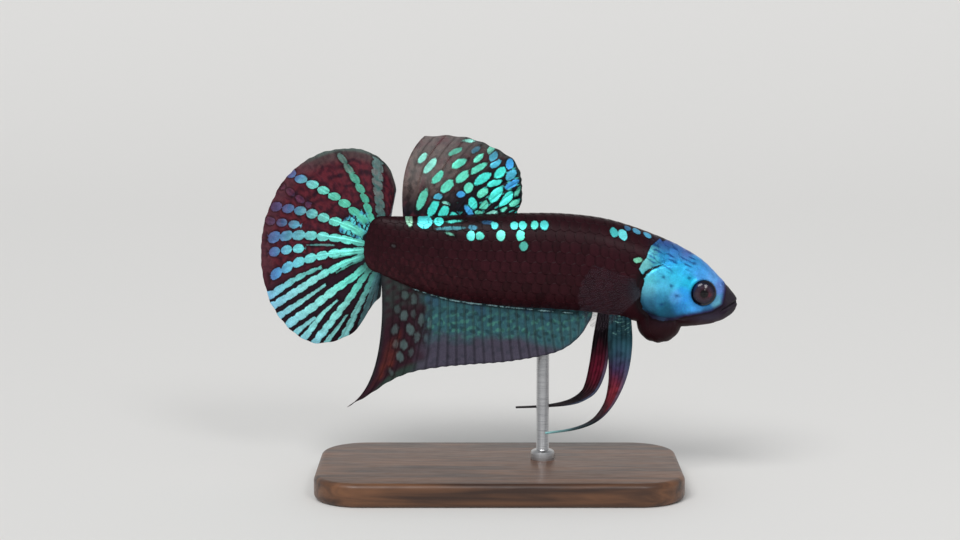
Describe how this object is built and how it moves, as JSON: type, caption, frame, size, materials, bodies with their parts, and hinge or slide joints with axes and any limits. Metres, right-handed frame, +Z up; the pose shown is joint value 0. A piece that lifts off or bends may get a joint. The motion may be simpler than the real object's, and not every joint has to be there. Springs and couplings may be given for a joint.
{
  "type": "betta fish model",
  "caption": "Life-size still model of a short-finned fighting fish, swimming, held by one slim rod over a flat wooden base.",
  "frame": {"origin": "centre of the stand's underside", "axes": "+X from the tail to the snout, +Z up, the fish's right side towards -Y"},
  "size_m": [0.0603, 0.025, 0.0445],
  "materials": {
    "mask": "satin iridescent blue skin",
    "jaw": "satin dark skin",
    "eye": "wet gloss",
    "body": "satin scales",
    "fin_turquoise": "satin membrane with iridescent rays",
    "fin_teal": "satin membrane",
    "fin_clear": "see-through membrane",
    "fin_red": "satin membrane",
    "stand_wood": "oiled",
    "stand_metal": "brushed"
  },
  "bodies": {
    "root": {"head": "mask", "gill_cover_right": "mask", "gill_cover_left": "mask", "lower_jaw": "jaw", "gill_membrane": "jaw", "eye_right": "eye", "eye_left": "eye", "trunk": "body", "tail_stalk": "body", "dorsal_fin": "fin_turquoise", "caudal_fin": "fin_turquoise", "anal_fin": "fin_teal", "pectoral_fin_right": "fin_clear", "pectoral_fin_left": "fin_clear", "pelvic_fin_right": "fin_red", "pelvic_fin_left": "fin_red", "stand_base": "stand_wood", "stand_rod": "stand_metal"}
  },
  "joints": []
}
